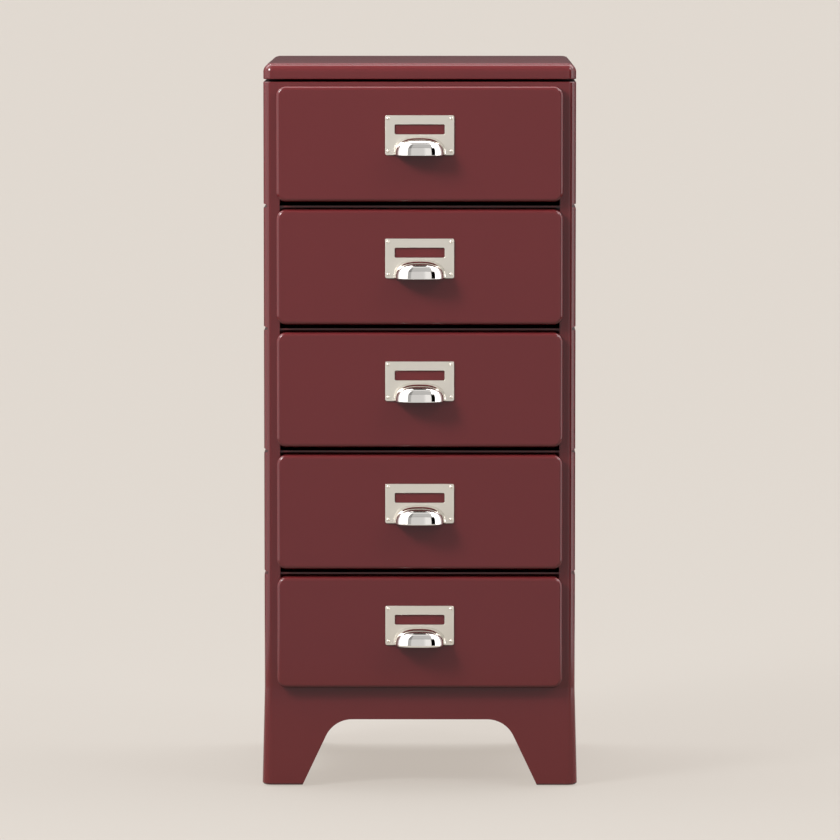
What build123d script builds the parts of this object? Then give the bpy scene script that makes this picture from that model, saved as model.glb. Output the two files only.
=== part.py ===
"""A five-drawer sheet-steel cabinet on a flared skirt base, with a cup pull and card frame on each drawer.

X runs to the right, Y to the back and Z up, in millimetres. The origin lies on the floor, under the middle
of the cabinet's overall box, pulls included.
"""

import os
from math import atan, degrees, radians, tan

from build123d import *

# Carcass
cabinet_width = 371.0
cabinet_depth = 350.0
cabinet_height = 864.0
corner_radius = 9.0  # upright corners, seen from above
sheet = 1.0  # steel of the carcass
corner_flat = 0.7  # a sheet's inner side crosses a rounded corner flat, at this share of the radius
edge_break = 0.6  # upper edges of the sides and the header, where the sheet is turned over

# Lid, which floats on a plinth over a dark gap
cap_height = 19.0
cap_edge_radius = 10.5
cap_corner_radius = 11.0
cap_lip = 6.0  # turned in along the lid's lower edge
cap_gap = 3.0
plinth_inset = 40.0
panel_flange = 10.0  # turned along the edges of the top and bottom panels

# Front frame
stile_width = 19.2
stile_return = 26.0
rear_flange = 21.0
header_reveal = 5.0  # top rail seen above the first drawer
sill_reveal = 2.0  # bottom rail seen under the last drawer
rail_setback = 4.0  # divider rails lie behind the stiles' faces
rail_rise = 4.0  # top of a divider rail over the drawer front under it
rail_hem = 8.0
rail_flange = 8.0
lip_height = 5.0  # stiffening lips behind the top and bottom rails

# Grooves pressed into the side panels, level with the divider rails
groove_rise = 3.8
groove_depth = 4.5
groove_mouth = 5.4
groove_floor = 2.2

# Drawer fronts
drawer_count = 5
front_margin = 15.5  # from a front's side to the cabinet's side
front_gap = 9.5
last_front_shorter = 3.5  # the lowest front gives this up to the base
front_corner_radius = 11.5
front_edge_radius = 4.5
front_reach = 14.0  # how far the fronts stand out from the stiles
front_clearance = 0.5  # between a closed front and the stiles
inner_bevel = 3.0  # inside of a front's rounded edge

# Drawer boxes
box_inset = 8.4  # box's side from the edge of the opening
box_rear_gap = 21.0  # box's back from the back panel
box_sheet = 0.8
box_drop = 14.0  # box's edge under the top of its front
box_lift = 10.0  # box's floor over the foot of its front
box_hem = 8.0
box_fit = 0.3  # between a box and the front folded round it

# Runners on the side panels, and the slides on the drawers that ride in them
runner_sheet = 1.2
runner_height = 24.0
runner_lift = 40.0  # runner's centre over the box's floor
runner_rear_gap = 8.0
pad_height = 6.0
pad_length = 16.0
pad_setback = 1.0  # from the runner's mouth, and again from the stop behind it
slide_height = 20.0
slide_start = 2.0
shoe_length = 22.0
shoe_wrap = 1.5  # nylon beyond the flange's edge
running_gap = 0.3  # nylon on steel
side_gap = 1.0  # a drawer's steel from the fixed steel beside it
stop_tab = 5.0  # turned down from the runner's upper flange
stop_gap = 0.5

# Pulls: a card frame and a drawn cup in one pressing
pull_drop = 34.0  # top of the frame under the top of its drawer front
plate_width = 81.5
plate_height = 47.0
plate_depth = 1.8
plate_sheet = 1.0
plate_corner = 1.2  # its corners are clipped by this
plate_bevel = 0.6
plate_rim = 2.4
card_slot_width = 62.0
window_width = 59.5
window_height = 11.8
window_drop = 10.7
window_corner = 1.4
cup_width = 61.0
cup_height = 20.0
cup_reach = 27.0
cup_corner_radius = 19.0
cup_inner_shoulder = 12.5
cup_sheet = 1.1
cup_rim_lift = 0.4  # cup's rim over the frame's lower edge

# Base
base_height = 118.0
base_flare = 3.0  # how far the skirt stands out at the floor
base_sheet = 1.2
base_top_flange = 16.0
arch_height = 80.5
arch_inset = 82.8  # from the cabinet's side to the corner where an arch's top and side would meet
arch_slant = 25.4  # degrees from upright
arch_radius = 34.6
arch_lip = 10.0
foot_edge_bevel = 1.8
glide_width = 22.0
glide_stem_width = 8.0
glide_stem_length = 6.0
glide_height = 1.5  # how far the glides lift the skirt off the floor
glide_inset = 24.0

# Derived places
pull_reach = front_reach + plate_depth + cup_reach
front_y = (pull_reach - cabinet_depth - base_flare) / 2  # faces of the stiles
back_y = front_y + cabinet_depth
mid_y = (front_y + back_y) / 2
side_x = cabinet_width / 2
opening_x = side_x - stile_width
carcass_top = cabinet_height - cap_height - cap_gap
stack_top = carcass_top - header_reveal
stack_bottom = base_height + sill_reveal
front_width = cabinet_width - 2 * front_margin
front_overlap = front_width / 2 - opening_x
stack_height = stack_top - stack_bottom + last_front_shorter
front_height = (stack_height - (drawer_count - 1) * front_gap) / drawer_count
drawer_pitch = front_height + front_gap
box_x = opening_x - box_inset
box_front_y = front_y - front_reach + sheet
box_back_y = back_y - 2 * sheet - box_rear_gap
slide_x = box_x + runner_sheet
slide_reach_x = opening_x - side_gap
runner_front_y = front_y + stile_return + side_gap
runner_back_y = back_y - 2 * sheet - runner_rear_gap
stop_y = runner_front_y + pad_setback + pad_length + pad_setback
flange_z = pad_height + running_gap + runner_sheet - runner_height / 2  # slide's flange from runner's centre
drawer_travel = box_back_y - shoe_length - stop_gap - stop_y - runner_sheet


def front_top(i):
    """Height of drawer front i's upper edge, counted from 0 at the top."""
    return stack_top - i * drawer_pitch


def front_bottom(i):
    """Height of drawer front i's lower edge."""
    return stack_bottom if i == drawer_count - 1 else front_top(i) - front_height


def along_x(profile, x0, x1):
    """A profile of (Y, Z) drawn out from x0 to x1."""
    return Pos(x0, 0, 0) * extrude(Plane.YZ * profile, x1 - x0)


def along_y(profile, y0, y1):
    """A profile of (X, Z) drawn out from y0 to y1."""
    return Pos(0, y1, 0) * extrude(Plane.XZ * profile, y1 - y0)


def along_z(profile, z0, z1):
    """A profile of (X, Y) drawn out from z0 to z1."""
    return Pos(0, 0, z0) * extrude(profile, z1 - z0)


def area(u0, u1, v0, v1):
    """A rectangle between two limits each way."""
    return Pos((u0 + u1) / 2, (v0 + v1) / 2) * Rectangle(abs(u1 - u0), abs(v1 - v0))


def folded(points, thickness):
    """The section of a sheet folded sharply along a line of points, with its thickness on the left of it."""
    return make_face(offset(Polyline(*points), thickness, kind=Kind.INTERSECTION, side=Side.LEFT))


def outline(radius):
    """The carcass seen from above, with its corners rounded."""
    return Pos(0, mid_y) * RectangleRounded(cabinet_width, cabinet_depth, radius)


def bevelled(inset, radius=corner_radius):
    """The same drawn in by an inset, with its corners cut flat, for the inner side of a sheet."""
    shape = Pos(0, mid_y) * Rectangle(cabinet_width - 2 * inset, cabinet_depth - 2 * inset)
    return chamfer(shape.vertices(), corner_flat * radius)


def both_sides(right):
    """A right-hand solid and its mirror image."""
    return [right, mirror(right, about=Plane.YZ)]


def save(name, *solids):
    """Write one sub-part, of one solid or several."""
    export_step(solids[0] if len(solids) == 1 else Compound(list(solids)), f"parts/{name}.step")


# Lid and panels


def rounded_above(width, inset):
    """The lid seen from one side, drawn in by an inset, with its upper corners rounded."""
    half = width / 2 - inset
    shape = area(-half, half, cabinet_height - cap_height + inset, cabinet_height - inset)
    return fillet(shape.vertices().group_by(Axis.Y)[-1], cap_edge_radius - inset)


def rolled_over(shape, inset):
    """A block of the lid's height with its four upper edges rolled over."""
    block = along_z(shape, cabinet_height - cap_height + inset, cabinet_height - inset)
    block &= along_y(rounded_above(cabinet_width, inset), front_y, back_y)
    return block & along_x(Pos(mid_y, 0) * rounded_above(cabinet_depth, inset), -side_x, side_x)


def top_cap():
    """A pressed lid with a rounded upper edge and a lip turned in below."""
    z0 = cabinet_height - cap_height
    lid = rolled_over(outline(cap_corner_radius), 0)
    hollow = rolled_over(bevelled(sheet, cap_corner_radius), sheet)
    mouth = along_z(bevelled(sheet + cap_lip, cap_corner_radius), z0, z0 + 2 * sheet)
    return lid - hollow - mouth


def turned_edge():
    """Where the top and bottom panels are turned against the right-hand side, seen from above."""
    return area(side_x - 2 * sheet, side_x - sheet, front_y + stile_return + sheet, back_y - rear_flange)


def top_panel():
    """The carcass's top, raised in the middle into the plinth that carries the lid."""
    z1 = carcass_top
    reach = area(-side_x + sheet, side_x - sheet, front_y + sheet, back_y - 2 * sheet)
    flange = along_z(bevelled(sheet) & reach, z1 - sheet, z1)
    plinth = along_z(bevelled(plinth_inset), z1 - sheet, cabinet_height - sheet)
    hollow = along_z(bevelled(plinth_inset + sheet), z1 - sheet, cabinet_height - 2 * sheet)
    return flange + plinth - hollow + both_sides(along_z(turned_edge(), z1 - panel_flange, z1))


def bottom_panel():
    """The carcass's floor, with a flange turned up along each side."""
    z0 = base_height
    reach = area(-side_x + sheet, side_x - sheet, front_y + sheet, back_y - 2 * sheet)
    floor = along_z(bevelled(sheet) & reach, z0, z0 + sheet)
    return floor + both_sides(along_z(turned_edge(), z0, z0 + panel_flange))


def back_panel():
    """A flat sheet that closes the back, behind the flanges of the side panels."""
    half = side_x - corner_radius
    return along_z(area(-half, half, back_y - 2 * sheet, back_y - sheet), base_height, carcass_top)


# Side panels


def groove(depth, mouth, floor, z):
    """The solid that a groove leaves out of the right-hand side panel."""
    x1 = side_x + 1
    slope = (mouth - floor) / 2 / depth
    section = Polygon(
        (side_x - depth, z - floor / 2),
        (x1, z - mouth / 2 - slope),
        (x1, z + mouth / 2 + slope),
        (side_x - depth, z + floor / 2),
        align=None,
    )
    return along_y(section, front_y - 1, back_y + 1)


def side_panel():
    """The right-hand side: one sheet bent round to the front as a stile, with grooves pressed into it."""
    z0, z1 = base_height, carcass_top
    outer = along_z(outline(corner_radius), z0, z1)
    outer = chamfer(outer.faces().sort_by(Axis.Z)[-1].edges(), edge_break)
    inner = along_z(bevelled(sheet), z0, z1)
    for i in range(1, drawer_count):
        z = front_top(i) + groove_rise
        outer -= groove(groove_depth, groove_mouth, groove_floor, z)
        inner -= groove(groove_depth + sheet, groove_mouth + sheet, groove_floor + 1.5 * sheet, z)
    front_half = area(opening_x, side_x, front_y, mid_y)
    rear_half = area(side_x - rear_flange, side_x, mid_y, back_y)
    panel = (outer - inner) & along_z(front_half + rear_half, z0, z1)
    turned = area(opening_x, opening_x + sheet, front_y, front_y + stile_return)
    return panel + along_z(turned, z0 + sheet, z1 - sheet)


# Rails across the front


def top_rail():
    """The header, flush with the stiles, with a shelf and lip folded behind it."""
    y0, z0, z1 = front_y, stack_top - front_overlap, carcass_top
    y1 = y0 + stile_return
    section = folded([(y0, z1), (y0, z0), (y1, z0), (y1, z0 + lip_height)], sheet)
    upper_edge = section.vertices().sort_by(Axis.X)[:2].sort_by(Axis.Y)[-1]
    return along_x(chamfer(upper_edge, edge_break), -opening_x, opening_x)


def bottom_rail():
    """The sill under the last drawer, flush with the stiles."""
    y0, z0, z1 = front_y, base_height, stack_bottom + front_overlap
    y1 = y0 + stile_return
    section = folded([(y1, z0 + sheet), (y1, z1), (y0, z1), (y0, z0)], sheet)
    return along_x(section, -opening_x, opening_x)


def divider_rail(i):
    """The rail above drawer i, hemmed along its front edge and turned down behind."""
    y0, z1 = front_y + rail_setback, front_top(i) + rail_rise
    y1 = front_y + stile_return
    shelf = area(y0, y1, z1 - sheet, z1)
    hem = area(y0, y0 + rail_hem, z1 - 2 * sheet, z1)
    turned = area(y1 - sheet, y1, z1 - rail_flange, z1)
    return along_x(shelf + hem + turned, -opening_x, opening_x)


# Runners and slides


def runner_z(i):
    """Height of drawer i's runners, at their centre."""
    return front_bottom(i) + box_lift + runner_lift


def runner(i):
    """A right-hand channel, open to the drawer, with a tab turned down behind the pad to stop the shoe."""
    x0, x1 = slide_x + side_gap, side_x - sheet
    z0, z1 = runner_z(i) - runner_height / 2, runner_z(i) + runner_height / 2
    section = folded([(x0, z0), (x1, z0), (x1, z1), (x0, z1)], runner_sheet)
    channel = along_y(section, runner_front_y, runner_back_y)
    tab = area(x0, x1, z1 - runner_sheet - stop_tab, z1)
    return channel + along_y(tab, stop_y, stop_y + runner_sheet)


def runner_pad(i):
    """The nylon pad in a right-hand runner's mouth, on which the slide's flange runs."""
    z0 = runner_z(i) - runner_height / 2 + runner_sheet
    y0 = runner_front_y + pad_setback
    return along_y(area(slide_x + side_gap, slide_reach_x, z0, z0 + pad_height), y0, y0 + pad_length)


def slide_section(i):
    """The section of a right-hand slide: an angle with its web on the box and its flange in the runner."""
    z0 = runner_z(i) + flange_z
    return folded([(box_x, z0 + slide_height), (box_x, z0), (slide_reach_x, z0)], runner_sheet)


def slide(i):
    """A right-hand slide, as long as the box behind its front."""
    return along_y(slide_section(i), front_y + slide_start, box_back_y)


def shoe(i):
    """The nylon shoe on the rear end of a right-hand slide's flange, which fills the runner."""
    half = runner_height / 2 - runner_sheet - running_gap
    section = area(slide_x, slide_reach_x + shoe_wrap, runner_z(i) - half, runner_z(i) + half)
    return along_y(section - slide_section(i), box_back_y - shoe_length, box_back_y)


# Drawers


def drawer_front(i):
    """A pressed tray with rounded corners and edges, folded in behind to meet the box."""
    z0, z1 = front_bottom(i), front_top(i)
    y0, y1 = front_y - front_reach, front_y - front_clearance
    face = RectangleRounded(front_width, z1 - z0, front_corner_radius)
    inside = Rectangle(front_width - 2 * sheet, z1 - z0 - 2 * sheet)
    inside = chamfer(inside.vertices(), corner_flat * front_corner_radius)
    tray = along_y(face, y0, y1)
    tray = fillet(tray.faces().sort_by(Axis.Y)[0].edges(), front_edge_radius)
    hollow = along_y(inside, y0 + sheet, y1 - sheet)
    hollow = chamfer(hollow.faces().sort_by(Axis.Y)[0].edges(), inner_bevel)
    middle = (z0 + z1) / 2
    x1 = box_x + box_fit
    mouth = area(-x1, x1, z0 + box_lift - box_fit - middle, z1 - box_drop + box_fit - middle)
    return Pos(0, 0, middle) * (tray - hollow - along_y(mouth, y1 - 2 * sheet, y1))


def drawer_box(i):
    """An open box folded from thin sheet, doubled along its upper edge."""
    z0, z1 = front_bottom(i) + box_lift, front_top(i) - box_drop
    x1 = box_x - box_sheet
    y0, y1 = box_front_y + box_sheet, box_back_y - box_sheet
    trough = along_y(area(-box_x, box_x, z0, z1), box_front_y, box_back_y)
    inside = along_y(area(-x1, x1, z0 + box_sheet, z1), y0, y1)
    narrow = area(-x1 + box_sheet, x1 - box_sheet, y0 + box_sheet, y1 - box_sheet)
    hem = along_z(area(-x1, x1, y0, y1) - narrow, z1 - box_hem, z1)
    return trough - inside + hem


# Pulls


def rounded_outline(inset, depth):
    """The cup's outline from in front or from below: a flat crown between round shoulders."""
    half, depth = cup_width / 2 - inset, depth - inset
    whole = RectangleRounded(2 * half, 2 * depth, min(cup_corner_radius - inset, depth - 0.5))
    return whole & area(-half, half, 0, depth)


def bevelled_outline(inset, depth):
    """The same outline with flat shoulders, for the cup's hollow."""
    half, depth = cup_width / 2 - inset, depth - inset
    whole = chamfer(Rectangle(2 * half, 2 * depth).vertices(), cup_inner_shoulder)
    return whole & area(-half, half, 0, depth)


def dome(outline_of, inset):
    """A cup's solid, from its rim line at the origin: its outlines from in front, below and beside."""
    height, reach = cup_height - inset, cup_reach - inset
    from_front = along_y(outline_of(inset, cup_height), -reach, 0)
    from_below = along_z(mirror(outline_of(inset, cup_reach), about=Plane.XZ), 0, height)
    profile = Pos(height - reach, 0) * Circle(height) & area(-reach, height - reach, 0, height)
    profile += area(height - reach, 0, 0, height)
    from_beside = along_x(profile, -cup_width / 2, cup_width / 2)
    return from_front & from_below & from_beside


def card_frame(y0, y1):
    """The pull's plate, centred on X: hollowed behind, open above for a card, with the card's window."""
    shape = Rectangle(plate_width, plate_height)
    plate = along_y(chamfer(shape.vertices(), plate_corner), y0, y1)
    plate = chamfer(plate.faces().sort_by(Axis.Y)[0].edges(), plate_bevel)
    pocket = Rectangle(plate_width - 2 * plate_rim, plate_height - 2 * plate_rim)
    slot = area(-card_slot_width / 2, card_slot_width / 2, 0, plate_height / 2 + 1)
    window_z = plate_height / 2 - window_drop - window_height / 2
    window = Pos(0, window_z) * chamfer(Rectangle(window_width, window_height).vertices(), window_corner)
    return plate - along_y(pocket + slot, y0 + plate_sheet, y1) - along_y(window, y0, y1)


def pull(i):
    """A card frame and a cup in one pressing, on the front of drawer i."""
    z0 = front_top(i) - pull_drop - plate_height
    y1 = front_y - front_reach
    y0 = y1 - plate_depth
    rim_z = z0 + cup_rim_lift
    rim = Pos(0, y0, rim_z)
    hollow = bevelled_outline(cup_sheet, cup_height)
    cup = rim * dome(rounded_outline, 0) - rim * dome(bevelled_outline, cup_sheet)
    half = cup_width / 2 - cup_sheet
    behind = along_y(Pos(0, rim_z) * hollow + area(-half, half, z0 - 1, rim_z), y0, y1)
    return Pos(0, 0, z0 + plate_height / 2) * card_frame(y0, y1) - behind + cup


# Base


def arch(half_width):
    """An arch's outline: a flat top, bent down into sides that slant out to the floor."""
    foot = half_width + (arch_height + 1) * tan(radians(arch_slant))
    corners = [(-foot, -1), (foot, -1), (half_width, arch_height), (-half_width, arch_height)]
    shape = Polygon(*corners, align=None)
    return fillet(shape.vertices().group_by(Axis.Y)[-1], min(arch_radius, half_width))


def front_arches(grow, y0, y1):
    """The arch seen from the front, drawn through from y0 to y1."""
    shape = arch(side_x - arch_inset)
    return along_y(offset(shape, grow) if grow else shape, y0, y1)


def side_arches(grow, x0, x1):
    """The arch seen from the side, drawn through from x0 to x1."""
    shape = Pos(mid_y, 0) * arch(cabinet_depth / 2 - arch_inset)
    return along_x(offset(shape, grow) if grow else shape, x0, x1)


def flared(shape, z0, z1):
    """A block that has a shape at z1 and flares out from there down to z0, like the skirt."""
    draft = degrees(atan(base_flare / (base_height - glide_height)))
    return Pos(0, 0, z1) * extrude(shape, z0 - z1, taper=-draft)


def glide_places():
    """The middle of each foot, seen from above."""
    x = side_x + base_flare - glide_inset
    y = cabinet_depth / 2 + base_flare - glide_inset
    return [(sx * x, mid_y + sy * y) for sx in (-1, 1) for sy in (-1, 1)]


def skirt():
    """The whole base: a flared shell with a flange above, feet closed below and lips round its arches."""
    outer = flared(outline(corner_radius), glide_height, base_height)
    outer = chamfer(outer.faces().sort_by(Axis.Z)[0].edges(), foot_edge_bevel)
    shell = outer - flared(bevelled(base_sheet), glide_height + base_sheet, base_height - base_sheet)
    shell -= along_z(bevelled(base_top_flange), base_height - 2 * base_sheet, base_height)
    reach_x, reach_y = side_x + base_flare, cabinet_depth / 2 + base_flare
    depth = arch_lip + base_flare
    for x0, x1 in ((-reach_x, depth - reach_x), (reach_x - depth, reach_x)):
        shell += side_arches(base_sheet, x0, x1) & outer
    for y0, y1 in ((-reach_y, depth - reach_y), (reach_y - depth, reach_y)):
        shell += front_arches(base_sheet, mid_y + y0, mid_y + y1) & outer
    shell -= front_arches(0, mid_y - reach_y - 1, mid_y + reach_y + 1)
    shell -= side_arches(0, -reach_x - 1, reach_x + 1)
    hole = Rectangle(glide_stem_width, glide_stem_width)
    return shell - [along_z(Pos(x, y) * hole, 0, glide_stem_length) for x, y in glide_places()]


def base_half(front):
    """The front or rear half of the base, parted at the middle of the sides."""
    y0, y1 = (front_y - 2 * base_flare, mid_y) if front else (mid_y, back_y + 2 * base_flare)
    reach = side_x + 2 * base_flare
    return whole_skirt & along_z(area(-reach, reach, y0, y1), 0, base_height)


def foot_glide(x, y):
    """A nylon pad under a foot, with a stem pushed up through the foot's floor."""
    pad = along_z(Rectangle(glide_width, glide_width), 0, glide_height)
    pad = chamfer(pad.edges().group_by(Axis.Z)[0], glide_height / 3)
    stem = along_z(Rectangle(glide_stem_width, glide_stem_width), glide_height, glide_stem_length)
    return Pos(x, y) * (pad + stem)


os.makedirs("parts", exist_ok=True)

save("top_cap", top_cap())
save("top_panel", top_panel())
save("bottom_panel", bottom_panel())
save("back_panel", back_panel())
right_panel = side_panel()
save("side_panel_right", right_panel)
save("side_panel_left", mirror(right_panel, about=Plane.YZ))
save("rail_top", top_rail())
save("rail_bottom", bottom_rail())
for i in range(1, drawer_count):
    save(f"rail_{i}_{i + 1}", divider_rail(i))
whole_skirt = skirt()
save("base_front", base_half(front=True))
save("base_rear", base_half(front=False))
save("foot_glides", *[foot_glide(x, y) for x, y in glide_places()])

pads = []
for i in range(drawer_count):
    right_runner, left_runner = both_sides(runner(i))
    save(f"runner_right_{i + 1}", right_runner)
    save(f"runner_left_{i + 1}", left_runner)
    pads += both_sides(runner_pad(i))
    save(f"drawer_front_{i + 1}", drawer_front(i))
    save(f"drawer_box_{i + 1}", drawer_box(i))
    save(f"drawer_slides_{i + 1}", *both_sides(slide(i)))
    save(f"drawer_shoes_{i + 1}", *both_sides(shoe(i)))
    save(f"pull_{i + 1}", pull(i))
save("runner_pads", *pads)

print(f"drawer travel {drawer_travel:.1f} mm")
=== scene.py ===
import bmesh
import bpy
from math import cos, pi, radians, sin, sqrt
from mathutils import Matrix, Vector


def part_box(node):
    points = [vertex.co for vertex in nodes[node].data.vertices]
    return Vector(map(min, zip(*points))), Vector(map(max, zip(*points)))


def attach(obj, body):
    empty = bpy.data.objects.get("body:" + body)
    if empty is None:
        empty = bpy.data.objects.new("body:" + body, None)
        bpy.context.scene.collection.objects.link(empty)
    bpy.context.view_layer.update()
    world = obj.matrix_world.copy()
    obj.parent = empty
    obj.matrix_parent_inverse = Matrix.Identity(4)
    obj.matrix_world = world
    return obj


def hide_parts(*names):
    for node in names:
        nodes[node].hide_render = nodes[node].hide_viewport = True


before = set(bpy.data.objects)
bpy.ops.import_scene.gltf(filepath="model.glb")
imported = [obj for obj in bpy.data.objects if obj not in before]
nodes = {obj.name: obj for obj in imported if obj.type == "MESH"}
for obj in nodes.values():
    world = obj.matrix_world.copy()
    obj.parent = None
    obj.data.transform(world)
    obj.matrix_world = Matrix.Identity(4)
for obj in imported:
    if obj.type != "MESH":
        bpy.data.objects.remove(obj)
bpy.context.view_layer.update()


# ---- Skirt base -------------------------------------------------------------------------------------------
# Two pressed halves of 1.2 mm sheet steel, flared towards the floor, with the edges of the arches turned in.
# Sprayed after pressing and stoved with the dark red enamel that covers the whole outside.


def linear(hex_value):
    """An sRGB hex value as a linear colour."""
    parts = [int(hex_value[i : i + 2], 16) / 255 for i in (1, 3, 5)]
    return (*[c / 12.92 if c <= 0.04045 else ((c + 0.055) / 1.055) ** 2.4 for c in parts], 1)


def feed(node, inputs):
    """Set a node's inputs, each to a value or to another node's output, which is linked to it."""
    for key, value in dict(inputs).items():
        if isinstance(value, bpy.types.NodeSocket):
            node.id_data.links.new(value, node.inputs[key])
        else:
            node.inputs[key].default_value = value


def add(tree, kind, inputs=(), **settings):
    """A new node with its settings and inputs. A Mix of colours has them at 6 and 7, and gives its own at 2."""
    made = tree.nodes.new(kind)
    for name, value in settings.items():
        setattr(made, name, value)
    feed(made, inputs)
    return made


def blank(name):
    """A new material, with its node tree and its shader."""
    material = bpy.data.materials.new(name)
    material.use_nodes = True
    return material, material.node_tree, material.node_tree.nodes["Principled BSDF"]


def dress(names, material):
    """Give solids a material in every slot that they have."""
    for name in names:
        for i in range(len(nodes[name].material_slots)):
            nodes[name].material_slots[i].material = material


# Noise hardly ever leaves these limits, so what it steers runs between them.
noise_low, noise_high = 0.3, 0.7

# Stoved enamel, sprayed: a closed, glossy film. The eye gets clear but soft-edged highlights on the folds, a
# faint orange peel about 2 mm across, a haze in patches of 3 cm, and a coat that is a touch thinner and lighter
# over 11 cm.
enamel_smooth, enamel_hazy = 0.1, 0.13
enamel, tree, shader = blank("stoved_enamel_dark_red")
place = add(tree, "ShaderNodeTexCoord").outputs["Object"]
thickness = add(tree, "ShaderNodeTexNoise", {"Vector": place, "Scale": 9, "Detail": 3})
coat = add(tree, "ShaderNodeMix", {0: thickness.outputs["Fac"], 6: linear("#5A1D1F"), 7: linear("#571C1E")},
           data_type="RGBA")
haze = add(tree, "ShaderNodeTexNoise", {"Vector": place, "Scale": 30, "Detail": 4})
gloss = add(tree, "ShaderNodeMapRange", {"Value": haze.outputs["Fac"],
                                         "From Min": noise_low, "From Max": noise_high,
                                         "To Min": enamel_smooth, "To Max": enamel_hazy})
peel = add(tree, "ShaderNodeTexNoise", {"Vector": place, "Scale": 450, "Detail": 1})
skin = add(tree, "ShaderNodeBump", {"Strength": 0.2, "Distance": 0.000005, "Height": peel.outputs["Fac"]})
feed(shader, {"Base Color": coat.outputs[2], "Roughness": gloss.outputs[0], "Normal": skin.outputs[0],
              "IOR": 1.5, "Specular IOR Level": 0.37})

dress(["base_front", "base_rear"], enamel)


# ---- Foot pads --------------------------------------------------------------------------------------------
# Four black nylon pads, injection moulded. Each is pushed up by its stem into a hole in a foot, and lifts the
# skirt off the floor.

# Moulded nylon: dull, with the mould's fine spark texture, about 0.5 mm.
pad_nylon, tree, shader = blank("moulded_nylon_black")
place = add(tree, "ShaderNodeTexCoord").outputs["Object"]
spark = add(tree, "ShaderNodeTexNoise", {"Vector": place, "Scale": 2000, "Detail": 2})
skin = add(tree, "ShaderNodeBump", {"Strength": 0.4, "Distance": 0.00005, "Height": spark.outputs["Fac"]})
black = add(tree, "ShaderNodeMix", {0: spark.outputs["Fac"], 6: linear("#1C1B1B"), 7: linear("#262525")},
            data_type="RGBA")
feed(shader, {"Base Color": black.outputs[2], "Normal": skin.outputs[0], "Roughness": 0.55})

dress(["foot_glides"], pad_nylon)


# ---- Carcass ----------------------------------------------------------------------------------------------
# Folded panels of 1 mm sheet steel, spot welded: two sides bent round to the front as stiles, a back, a top and
# a floor, with rails across the front. Enamelled in one with the base.

dress(["side_panel_left", "side_panel_right", "back_panel", "bottom_panel"], enamel)
dress(["rail_top", "rail_1_2", "rail_2_3", "rail_3_4", "rail_4_5", "rail_bottom"], enamel)

# A dead matt, nearly black coat, chalky over 1.5 mm, like a primer: painted shade. The top under the lid gets
# it so that the shadow gap between lid and carcass shows nearly black.
gap_shade_coat, tree, shader = blank("painted_gap_shade_dark")
place = add(tree, "ShaderNodeTexCoord").outputs["Object"]
chalk = add(tree, "ShaderNodeTexNoise", {"Vector": place, "Scale": 700, "Detail": 2})
gap_shade_tone = add(tree, "ShaderNodeMix", {0: chalk.outputs["Fac"], 6: linear("#221112"), 7: linear("#1A0D0E")},
            data_type="RGBA")
skin = add(tree, "ShaderNodeBump", {"Strength": 0.5, "Distance": 0.00005, "Height": chalk.outputs["Fac"]})
feed(shader, {"Base Color": gap_shade_tone.outputs[2], "Normal": skin.outputs[0], "Roughness": 0.95,
              "Specular IOR Level": 0.1})

# painted shade: the near-black coat on the hidden top darkens the shadow gap under the lid
dress(["top_panel"], gap_shade_coat)


# ---- Runners ----------------------------------------------------------------------------------------------
# Roll-formed channels of zinc-plated steel, spot welded along the sides, two for each drawer. A nylon pad in
# each mouth carries the drawer's slide.

drawers = range(1, 6)

# Bright zinc plate, dull silver with a bluish cast: clouded over 10 mm, faintly drawn along its length.
zinc_bright, zinc_dull = 0.32, 0.45
zinc, tree, shader = blank("zinc_plated_steel")
place = add(tree, "ShaderNodeTexCoord").outputs["Object"]
cloud = add(tree, "ShaderNodeTexNoise", {"Vector": place, "Scale": 100, "Detail": 3})
plating = add(tree, "ShaderNodeMix", {0: cloud.outputs["Fac"], 6: linear("#B9BEC4"), 7: linear("#A4A9AE")},
              data_type="RGBA")
drawn = add(tree, "ShaderNodeMapping", {"Vector": place, "Scale": (1, 0.03, 1)})
lines = add(tree, "ShaderNodeTexNoise", {"Vector": drawn.outputs[0], "Scale": 1400, "Detail": 2})
dull = add(tree, "ShaderNodeMapRange", {"Value": lines.outputs["Fac"],
                                        "From Min": noise_low, "From Max": noise_high,
                                        "To Min": zinc_bright, "To Max": zinc_dull})
feed(shader, {"Base Color": plating.outputs[2], "Roughness": dull.outputs[0], "Metallic": 1})

dress([f"runner_{side}_{i}" for side in ("left", "right") for i in drawers], zinc)

# Natural nylon, moulded: milky off-white and slightly waxy, with flow marks about 8 mm across.
nylon, tree, shader = blank("moulded_nylon_natural")
place = add(tree, "ShaderNodeTexCoord").outputs["Object"]
flow = add(tree, "ShaderNodeTexNoise", {"Vector": place, "Scale": 120, "Detail": 2})
milk = add(tree, "ShaderNodeMix", {0: flow.outputs["Fac"], 6: linear("#E6E2D6"), 7: linear("#DCD7C9")},
           data_type="RGBA")
feed(shader, {"Base Color": milk.outputs[2], "Roughness": 0.42})

dress(["runner_pads"], nylon)


# ---- Drawer boxes -----------------------------------------------------------------------------------------
# Open boxes folded from 0.8 mm sheet, enamelled inside and out in one thin coat, on zinc-plated slides whose
# nylon shoes fill the runners.

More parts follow.
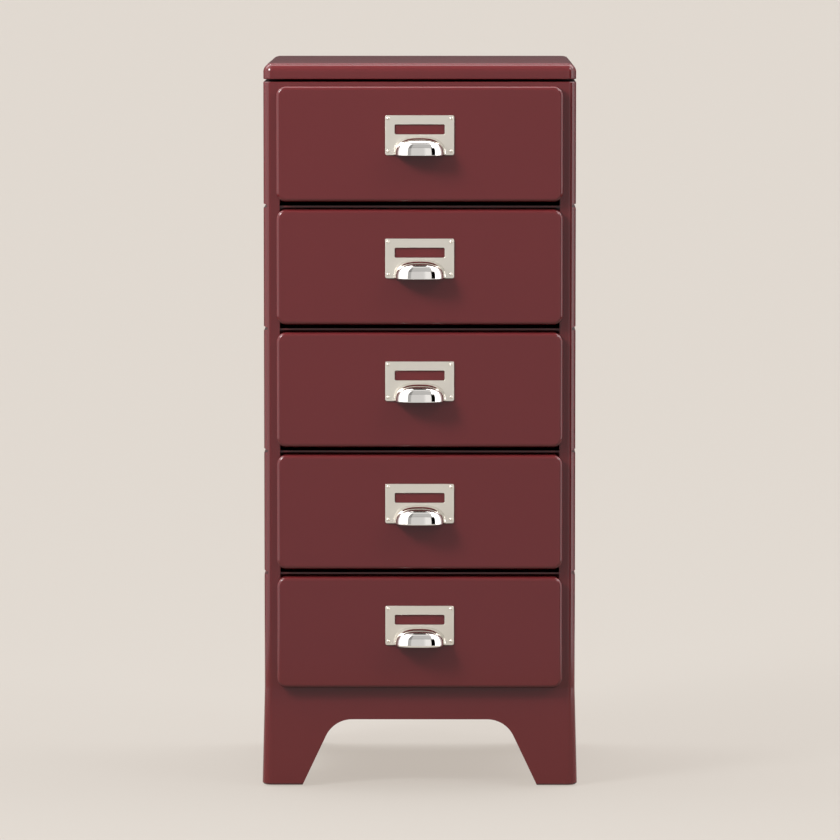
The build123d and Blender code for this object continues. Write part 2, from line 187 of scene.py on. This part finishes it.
# The same enamel in one thin coat: duller, with the sheet's rolled grain, 4 mm wide, just showing through it.
thin_enamel, tree, shader = blank("thin_enamel_dark_red")
place = add(tree, "ShaderNodeTexCoord").outputs["Object"]
rolled = add(tree, "ShaderNodeMapping", {"Vector": place, "Scale": (1, 0.08, 1)})
grain = add(tree, "ShaderNodeTexNoise", {"Vector": rolled.outputs[0], "Scale": 260, "Detail": 3})
film = add(tree, "ShaderNodeMix", {0: grain.outputs["Fac"], 6: linear("#652829"), 7: linear("#5A2425")},
           data_type="RGBA")
skin = add(tree, "ShaderNodeBump", {"Strength": 0.4, "Distance": 0.00002, "Height": grain.outputs["Fac"]})
feed(shader, {"Base Color": film.outputs[2], "Normal": skin.outputs[0], "Roughness": 0.45})

dress([f"drawer_box_{i}" for i in drawers], thin_enamel)
dress([f"drawer_slides_{i}" for i in drawers], zinc)
dress([f"drawer_shoes_{i}" for i in drawers], nylon)


# ---- Drawer fronts ----------------------------------------------------------------------------------------
# Shallow trays pressed from one sheet, with rounded edges and corners. They are folded round their boxes,
# spot welded to them, and enamelled like the carcass.

dress([f"drawer_front_{i}" for i in drawers], enamel)


# ---- Pulls ------------------------------------------------------------------------------------------------
# A card frame and a finger cup drawn in one pressing, nickel plated: the frame is left satin, the cup is
# polished. The frame stands off the drawer so that a card slides in from above, behind its window.

plate_width, plate_height, plate_sheet, plate_corner = 0.0815, 0.047, 0.001, 0.0021
plate_depth = 0.0018  # from the drawer's face to the frame's
window_width, window_height, window_drop, window_corner = 0.0595, 0.0118, 0.0107, 0.0018
cup_half_width, cup_height, cup_reach = 0.0300, 0.0206, 0.0270
cup_power, nose_power = 2.7, 3.0  # how square the cup is seen from the front, and from the side
cup_flare, cup_sheet, rim_lift = 0.0009, 0.0011, 0.0004
mouth_cover = 0.0004  # the cup's flare hides the edge of the frame's mouth by this
lip_width, lip_inset, lip_lap = 0.0014, 0.0004, 0.0001
lip_reach, lip_cup_gap = 0.008, 0.002  # how far a lip runs along the top, and how far it stays from the cup
plate_round, lip_round, rim_round = 0.0003, 0.0001, 0.0004

# Satin nickel: brushed plate before plating, so a warm grey that spreads what it mirrors. The brushing runs
# across, its lines drawn 0.3 mm apart, coarser than real so that they show.
satin_clear, satin_dull = 0.3, 0.42
satin_nickel, tree, shader = blank("satin_nickel_plate")
place = add(tree, "ShaderNodeTexCoord").outputs["Object"]
brushed = add(tree, "ShaderNodeMapping", {"Vector": place, "Scale": (0.05, 1, 1)})
lines = add(tree, "ShaderNodeTexNoise", {"Vector": brushed.outputs[0], "Scale": 3300, "Detail": 2})
dull = add(tree, "ShaderNodeMapRange", {"Value": lines.outputs["Fac"],
                                        "From Min": noise_low, "From Max": noise_high,
                                        "To Min": satin_clear, "To Max": satin_dull})
skin = add(tree, "ShaderNodeBump", {"Strength": 0.2, "Distance": 0.00001, "Height": lines.outputs["Fac"]})
feed(shader, {"Base Color": linear("#D8D2C6"), "Roughness": dull.outputs[0], "Normal": skin.outputs[0],
              "Metallic": 1})

# Polished nickel: buffed on a wheel to a mirror, with the slightest ripple left by the press, 6 mm long.
polished_nickel, tree, shader = blank("polished_nickel_plate")
place = add(tree, "ShaderNodeTexCoord").outputs["Object"]
ripple = add(tree, "ShaderNodeTexNoise", {"Vector": place, "Scale": 160, "Detail": 1})
skin = add(tree, "ShaderNodeBump", {"Strength": 0.25, "Distance": 0.00002, "Height": ripple.outputs["Fac"]})
feed(shader, {"Base Color": linear("#E6E3DD"), "Normal": skin.outputs[0], "Metallic": 1, "Roughness": 0.06})


def rounded(width, height, radius, middle, steps=6):
    """The outline of a rounded rectangle with its middle this far up, anticlockwise from the right."""
    points = []
    for corner, (right, up) in enumerate(((1, 1), (-1, 1), (-1, -1), (1, -1))):
        for step in range(steps + 1):
            turn = (corner + step / steps) * pi / 2
            points.append((right * (width / 2 - radius) + radius * cos(turn),
                           middle + up * (height / 2 - radius) + radius * sin(turn)))
    return points


def cup_edge(grow, steps=64):
    """The cup's outline on its frame, from left to right over the top, with its outward direction."""
    points = []
    for step in range(steps + 1):
        turn = pi * (1 - step / steps)
        x = abs(cos(turn)) ** (2 / cup_power) * (1 if cos(turn) > 0 else -1)
        z = abs(sin(turn)) ** (2 / cup_power) if 0 < step < steps else 0
        out = Vector((abs(x) ** (cup_power - 1) * (1 if x > 0 else -1) / cup_half_width,
                      z ** (cup_power - 1) / cup_height)).normalized()
        points.append((x * cup_half_width + out.x * grow, z * cup_height + out.y * grow, out.x, out.y))
    return points


def plain_mesh(piece):
    """An object's finished mesh, after its curve or its modifiers. The object itself goes."""
    bpy.context.scene.collection.objects.link(piece)
    mesh = bpy.data.meshes.new_from_object(piece.evaluated_get(bpy.context.evaluated_depsgraph_get()))
    bpy.data.objects.remove(piece)
    return mesh


def flat_sheet(outlines, front_y, rear_y, edge):
    """A plate between two depths that fills the first outline less the others, with its edges rounded."""
    curve = bpy.data.curves.new("plate", "CURVE")
    curve.dimensions, curve.fill_mode = "2D", "BOTH"
    curve.extrude, curve.offset = (rear_y - front_y) / 2 - edge, -edge
    curve.bevel_depth, curve.bevel_resolution = edge, 2
    for outline in outlines:
        spline = curve.splines.new("POLY")
        spline.points.add(len(outline) - 1)
        for point, (x, z) in zip(spline.points, outline):
            point.co = (x, z, 0, 1)
        spline.use_cyclic_u = True
    mesh = plain_mesh(bpy.data.objects.new("plate", curve))
    for vertex in mesh.vertices:
        x, z, depth = vertex.co
        vertex.co = (x, (front_y + rear_y) / 2 - depth, z)
    return mesh


def cup_shell(front_y, rim_z, turns=36):
    """The drawn cup: its outline swung forward about the rim line, flared where it leaves the frame."""
    edge = cup_edge(0)
    shell = bmesh.new()
    rows = []
    for k in range(turns + 1):
        lean = pi / 2 * k / turns
        row = []
        for x, z, out_x, out_z in edge:
            away = z * max(cos(lean), 0) ** (2 / nose_power) * cup_reach / cup_height
            rise = z * sin(lean) ** (2 / nose_power)
            flare = cup_flare - sqrt(cup_flare**2 - min(max(cup_flare - away, 0), cup_flare) ** 2)
            row.append(shell.verts.new((x + out_x * flare, front_y - away, rim_z + rise + out_z * flare)))
        rows.append(row)
    for row, next_row in zip(rows, rows[1:]):
        for corners in zip(row, row[1:], next_row[1:], next_row):
            shell.faces.new(corners)
    bmesh.ops.remove_doubles(shell, verts=shell.verts, dist=0.00001)
    bmesh.ops.recalc_face_normals(shell, faces=shell.faces)
    mesh = bpy.data.meshes.new("cup")
    shell.to_mesh(mesh)
    shell.free()
    return mesh


def one_object(name, meshes, materials, crease):
    """Join meshes into one smooth object, each with its own material, sharp from a crease in degrees."""
    whole = bmesh.new()
    for index, mesh in enumerate(meshes):
        first = len(whole.faces)
        whole.from_mesh(mesh)
        whole.faces.ensure_lookup_table()
        for face in whole.faces[first:]:
            face.material_index = index
    joined = bpy.data.meshes.new(name)
    whole.to_mesh(joined)
    whole.free()
    for material in materials:
        joined.materials.append(material)
    piece = bpy.data.objects.new(name, joined)
    bpy.context.scene.collection.objects.link(piece)
    joined.shade_smooth()
    joined.set_sharp_from_angle(angle=radians(crease))
    return piece


for i in drawers:
    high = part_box(f"pull_{i}")[1]
    face_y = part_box(f"drawer_front_{i}")[0].y
    plate_y = high.y - plate_depth
    top_z, bottom_z = high.z, high.z - plate_height
    middle_z = (top_z + bottom_z) / 2
    rim_z = bottom_z + rim_lift

    # the frame's lower edge is broken where the cup comes down through it
    frame_edge = rounded(plate_width, plate_height, plate_corner, middle_z)
    mouth = [(x, rim_z + z) for x, z, _, _ in cup_edge(cup_flare - mouth_cover)]
    upper = [p for p in frame_edge if p[1] > middle_z]
    lower_left = [p for p in frame_edge if p[0] < 0 and p[1] < middle_z]
    lower_right = [p for p in frame_edge if p[0] > 0 and p[1] < middle_z]
    broken = [(mouth[0][0], bottom_z), *mouth, (mouth[-1][0], bottom_z)]
    window = rounded(window_width, window_height, window_corner, top_z - window_drop - window_height / 2)
    sheet_mesh = flat_sheet([upper + lower_left + broken + lower_right, window],
                            plate_y, plate_y + plate_sheet, plate_round)

    # its other edges are turned back against the drawer, except above, where the card goes in
    side_x, cup_x = plate_width / 2 - lip_inset, cup_half_width + lip_cup_gap
    lip_top, lip_foot = top_z - lip_inset, bottom_z + lip_inset
    lip = [(side_x, lip_foot), (side_x, lip_top), (side_x - lip_reach, lip_top),
           (side_x - lip_reach, lip_top - lip_width), (side_x - lip_width, lip_top - lip_width),
           (side_x - lip_width, lip_foot + lip_width), (cup_x, lip_foot + lip_width), (cup_x, lip_foot)]
    lips = [flat_sheet([[(s * x, z) for x, z in lip]], plate_y + plate_sheet - lip_lap, face_y, lip_round)
            for s in (-1, 1)]

    cup = bpy.data.objects.new("cup", cup_shell(plate_y, rim_z))
    wall = cup.modifiers.new("wall", "SOLIDIFY")
    wall.thickness, wall.offset, wall.use_even_offset = cup_sheet, -1, True
    rim = cup.modifiers.new("rim", "BEVEL")
    rim.width, rim.segments, rim.limit_method, rim.angle_limit = rim_round, 3, "ANGLE", radians(50)
    pull = one_object(f"cup_pull_{i}", [sheet_mesh, *lips, plain_mesh(cup)],
                      [satin_nickel, satin_nickel, satin_nickel, polished_nickel], crease=35)
    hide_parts(f"pull_{i}")
    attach(pull, f"drawer_{i}")


# ---- Rivets -----------------------------------------------------------------------------------------------
# Four round-headed steel rivets hold each frame to its drawer, plated with it and left satin. The lower two
# sit a little further from their edge than the upper two.

rivet_above, rivet_below, rivet_beside = 0.0035, 0.0046, 0.0034  # from the frame's edges
head_width, head_height = 0.0038, 0.0011
head_stand = 0.0001  # a head's widest ring stands this far off the frame

rivet_tree = bpy.data.node_groups.new("rivet_heads", "GeometryNodeTree")
for name, kind in (("Middle", "NodeSocketVector"), ("Across", "NodeSocketFloat"), ("Up", "NodeSocketFloat"),
                   ("Head width", "NodeSocketFloat"), ("Head height", "NodeSocketFloat"),
                   ("Finish", "NodeSocketMaterial")):
    rivet_tree.interface.new_socket(name, in_out="INPUT", socket_type=kind)
rivet_tree.interface.new_socket("Geometry", in_out="OUTPUT", socket_type="NodeSocketGeometry")
given = add(rivet_tree, "NodeGroupInput").outputs
corners = add(rivet_tree, "GeometryNodeMeshGrid", {"Size X": given["Across"], "Size Y": given["Up"],
                                                   "Vertices X": 2, "Vertices Y": 2})
upright = add(rivet_tree, "GeometryNodeTransform", {"Geometry": corners.outputs["Mesh"],
                                                    "Rotation": (pi / 2, 0, 0), "Translation": given["Middle"]})
# a ball 1 m across is scaled to a head's width, and to twice its height, as half of it stands out
ball = add(rivet_tree, "GeometryNodeMeshUVSphere", {"Segments": 24, "Rings": 12, "Radius": 0.5})
thick = add(rivet_tree, "ShaderNodeMath", {0: given["Head height"], 1: 2.0}, operation="MULTIPLY")
size = add(rivet_tree, "ShaderNodeCombineXYZ", {"X": given["Head width"], "Y": thick.outputs[0],
                                                "Z": given["Head width"]})
head = add(rivet_tree, "GeometryNodeTransform", {"Geometry": ball.outputs["Mesh"], "Scale": size.outputs[0]})
placed = add(rivet_tree, "GeometryNodeInstanceOnPoints", {"Points": upright.outputs[0],
                                                          "Instance": head.outputs[0]})
real = add(rivet_tree, "GeometryNodeRealizeInstances", {"Geometry": placed.outputs[0]})
finished = add(rivet_tree, "GeometryNodeSetMaterial", {"Geometry": real.outputs[0],
                                                       "Material": given["Finish"]})
soft = add(rivet_tree, "GeometryNodeSetShadeSmooth", {"Geometry": finished.outputs[0]})
add(rivet_tree, "NodeGroupOutput", {"Geometry": soft.outputs[0]})
socket = {item.name: item.identifier for item in rivet_tree.interface.items_tree if item.in_out == "INPUT"}

for i in drawers:
    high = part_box(f"pull_{i}")[1]
    maker = bpy.data.objects.new("rivet_maker", bpy.data.meshes.new("rivet_maker"))
    rivets = maker.modifiers.new("rivets", "NODES")
    rivets.node_group = rivet_tree
    rivets[socket["Middle"]] = (0, high.y - plate_depth - head_stand,
                                high.z - (rivet_above + plate_height - rivet_below) / 2)
    rivets[socket["Across"]] = plate_width - 2 * rivet_beside
    rivets[socket["Up"]] = plate_height - rivet_above - rivet_below
    rivets[socket["Head width"]] = head_width
    rivets[socket["Head height"]] = head_height
    rivets[socket["Finish"]] = satin_nickel
    heads = bpy.data.objects.new(f"rivets_{i}", plain_mesh(maker))
    bpy.context.scene.collection.objects.link(heads)
    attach(heads, f"drawer_{i}")


# ---- Lid --------------------------------------------------------------------------------------------------
# A pressed lid of 1 mm sheet with all its upper edges rolled over to a 10.5 mm radius and a lip turned in
# below. It sits on a plinth over a shadow gap, and has the carcass's enamel.

lid_edge, lid_corner, lid_sheet, lid_lip = 0.0105, 0.011, 0.001, 0.006
ceiling_inset, least_corner = 0.004, 0.0004
edge_steps = 16
low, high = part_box("top_cap")


def lid_ring(inset, z):
    """The lid's outline seen from above, drawn in by an inset."""
    width, depth = high.x - low.x - 2 * inset, high.y - low.y - 2 * inset
    radius = max(lid_corner - inset, least_corner)
    middle = (low + high) / 2
    return [(middle.x + x, y, z) for x, y in rounded(width, depth, radius, middle.y, steps=12)]


# the section, as insets and heights: down inside, round the lip, and up over the softened foot and the roll
section = [(lid_sheet + ceiling_inset, high.z - lid_sheet), (lid_sheet, low.z + lid_sheet),
           (lid_lip, low.z + lid_sheet), (lid_lip, low.z), (0.0011, low.z), (0.0005, low.z + 0.0002),
           (0.0001, low.z + 0.0006), (0, low.z + 0.0012)]
for step in range(edge_steps + 1):
    turn = pi / 2 * step / edge_steps
    section.append((lid_edge * (1 - cos(turn)), high.z - lid_edge + lid_edge * sin(turn)))
shell = bmesh.new()
rings = [[shell.verts.new(p) for p in lid_ring(inset, z)] for inset, z in section]
for lower, upper in zip(rings, rings[1:]):
    for k in range(len(lower)):
        shell.faces.new((lower[k - 1], lower[k], upper[k], upper[k - 1]))
shell.faces.new(rings[-1])
shell.faces.new(rings[0][::-1])
bmesh.ops.remove_doubles(shell, verts=shell.verts, dist=0.000005)
bmesh.ops.recalc_face_normals(shell, faces=shell.faces)
lid_mesh = bpy.data.meshes.new("lid")
shell.to_mesh(lid_mesh)
shell.free()
lid = one_object("pressed_lid", [lid_mesh], [enamel], crease=40)
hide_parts("top_cap")
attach(lid, "carcass")


# ---- Studio -----------------------------------------------------------------------------------------------
# A plain warm floor that runs out of sight, under a soft key lamp high on the left. All round stand large soft
# boards: overhead, at both sides and in front, with a dark card at the right for the polished cups to mirror.

# Matt paper, dead flat. The light that it sends back up at the cabinet is kept low, as from a small sheet.
paper, tree, shader = blank("matt_paper_floor")
feed(shader, {"Base Color": linear("#565654"), "Roughness": 1, "Specular IOR Level": 0})
# the eye and what mirrors the floor get a share of glow that lifts it to the paper's own pale tone, so that
# the cabinet's shadow shows at about a third of its depth
glow_share, glow_strength = 0.1, 6.9
rays = add(tree, "ShaderNodeLightPath")
seen = add(tree, "ShaderNodeMath", {0: rays.outputs["Is Camera Ray"], 1: rays.outputs["Is Glossy Ray"]},
           operation="MAXIMUM")
seen = add(tree, "ShaderNodeMath", {0: seen.outputs[0], 1: rays.outputs["Is Transmission Ray"]},
           operation="MAXIMUM")
share = add(tree, "ShaderNodeMath", {0: seen.outputs[0], 1: glow_share}, operation="MULTIPLY")
glow = add(tree, "ShaderNodeEmission", {"Color": linear("#E1D6CB"), "Strength": glow_strength})
both = add(tree, "ShaderNodeMixShader", {0: share.outputs[0], 1: shader.outputs[0], 2: glow.outputs[0]})
feed(tree.nodes["Material Output"], {"Surface": both.outputs[0]})

# the far part is left out of reflections, so that the boards stand at the edge of the near part
near, far = 1.2, 400
square = [(-1, -1), (1, -1), (1, 1), (-1, 1)]
corners = [(x * reach, y * reach, 0) for reach in (near, far) for x, y in square]
around = [(4 + k, 4 + (k + 1) % 4, (k + 1) % 4, k) for k in range(4)]
for name, faces, mirrored in (("floor_near", [(0, 1, 2, 3)], True), ("floor_far", around, False)):
    floor = bpy.data.objects.new(name, bpy.data.meshes.new(name))
    floor.data.from_pydata(corners, [], faces)
    floor.data.materials.append(paper)
    floor.visible_glossy = mirrored
    bpy.context.scene.collection.objects.link(floor)

lamp = bpy.data.lights.new("key", "AREA")
lamp.shape, lamp.size, lamp.size_y = "RECTANGLE", 0.6, 0.6
lamp.energy, lamp.spread = 16, radians(110)
key = bpy.data.objects.new("key", lamp)
bpy.context.scene.collection.objects.link(key)
key.location = (-1.5, -1.45, 1.9)
aim = Vector((0, -0.15, 1.1))
key.rotation_euler = (aim - key.location).to_track_quat("-Z", "Y").to_euler()

world = bpy.data.worlds.new("studio_boards")
bpy.context.scene.world = world
world.use_nodes = True
tree = world.node_tree
way = add(tree, "ShaderNodeSeparateXYZ", {0: add(tree, "ShaderNodeTexCoord").outputs["Generated"]}).outputs
front = add(tree, "ShaderNodeMath", {0: way["Y"], 1: -1.0}, operation="MULTIPLY")
# the bearing from straight ahead, right is positive; the elevation; and the way from the front horizon over
# the top to the back
across = add(tree, "ShaderNodeMath", {0: way["X"], 1: front.outputs[0]}, operation="ARCTAN2").outputs[0]
upward = add(tree, "ShaderNodeMath", {0: way["Z"]}, operation="ARCSINE").outputs[0]
over = add(tree, "ShaderNodeMath", {0: way["Z"], 1: front.outputs[0]}, operation="ARCTAN2").outputs[0]

# each board has its limits in two of those angles, in degrees, the width of its soft edge, and its strength
ahead = (across, -88, 84)
boards = (
    ([(over, -30, 28), ahead], 4, 0.67),  # in front, from the floor up
    ([(over, 34, 60), ahead], 4, 0.5),  # in front, over that one
    ([(over, 66, 78), ahead], 4, 0.8),  # a strip high in front
    ([(over, 92, 130), (upward, 32, 95)], 5, 4.9),  # overhead, from the zenith to the back
    ([(over, 142, 166), (upward, 12, 95)], 8, 0.35),  # low behind
    ([(across, -116, -34), (upward, -12, 66)], 5, 1.4),  # at the left
    ([(across, -30, -20), (upward, -12, 60)], 5, -0.3),  # the shade along its inner edge
    ([(across, -58, -42), (upward, 29, 44)], 2, 12.0),  # small and bright, high on the left
    ([(across, 12, 28), (upward, -12, 24)], 9, 0.25),  # a soft patch right of the camera
    ([(across, 56, 112), (upward, -12, 66)], 4, 1.5),  # at the right
    ([(across, 56, 88), (upward, -12, 42)], 4, 1.0),  # its lower front part, brighter
    ([(across, 46, 58), (upward, 36, 48)], 2, 12.0),  # small and bright, high on the right
    ([(across, 32, 51), (upward, -12, 24)], 1.5, -2.0),  # the dark card
)
light = 0.11  # of the room between the boards
for spans, edge, strength in boards:
    shade = strength
    for angle, first, last in spans:
        for none, full in ((first - edge, first), (last + edge, last)):
            ramp = add(tree, "ShaderNodeMapRange", {"Value": angle, "From Min": radians(none),
                                                    "From Max": radians(full)}, interpolation_type="SMOOTHSTEP")
            shade = add(tree, "ShaderNodeMath", {0: ramp.outputs[0], 1: shade}, operation="MULTIPLY").outputs[0]
    light = add(tree, "ShaderNodeMath", {0: shade, 1: light}, operation="ADD").outputs[0]
light = add(tree, "ShaderNodeMath", {0: light, 1: 0.0}, operation="MAXIMUM")

# the eye sees the floor's tone behind everything instead
eye = add(tree, "ShaderNodeLightPath").outputs["Is Camera Ray"]
brightness = add(tree, "ShaderNodeMix", {0: eye, 2: light.outputs[0], 3: 1.0})
tone = add(tree, "ShaderNodeMix", {0: eye, 6: linear("#FFFEFF"), 7: linear("#E1DAD1")}, data_type="RGBA")
feed(tree.nodes["Background"], {"Strength": brightness.outputs[0], "Color": tone.outputs[2]})

# The camera stands at the photograph's height, looking slightly down, a little to the right of the middle. Its
# focal length was found in pixels of the photograph.
focal_pixels, frame_pixels, sensor = 5651.6, 840, 36
look_down, look_left = radians(5.177), radians(0.2996)
camera = bpy.data.objects.new("camera", bpy.data.cameras.new("camera"))
bpy.context.scene.collection.objects.link(camera)
camera.location = (0.0354, -6.8564, 1.0471)
camera.rotation_euler = (pi / 2 - look_down, 0, look_left)
camera.data.sensor_width, camera.data.lens = sensor, focal_pixels / frame_pixels * sensor
camera.data.clip_start, camera.data.clip_end = 0.1, 2000
bpy.context.scene.camera = camera
bpy.context.scene.view_settings.view_transform = "Standard"
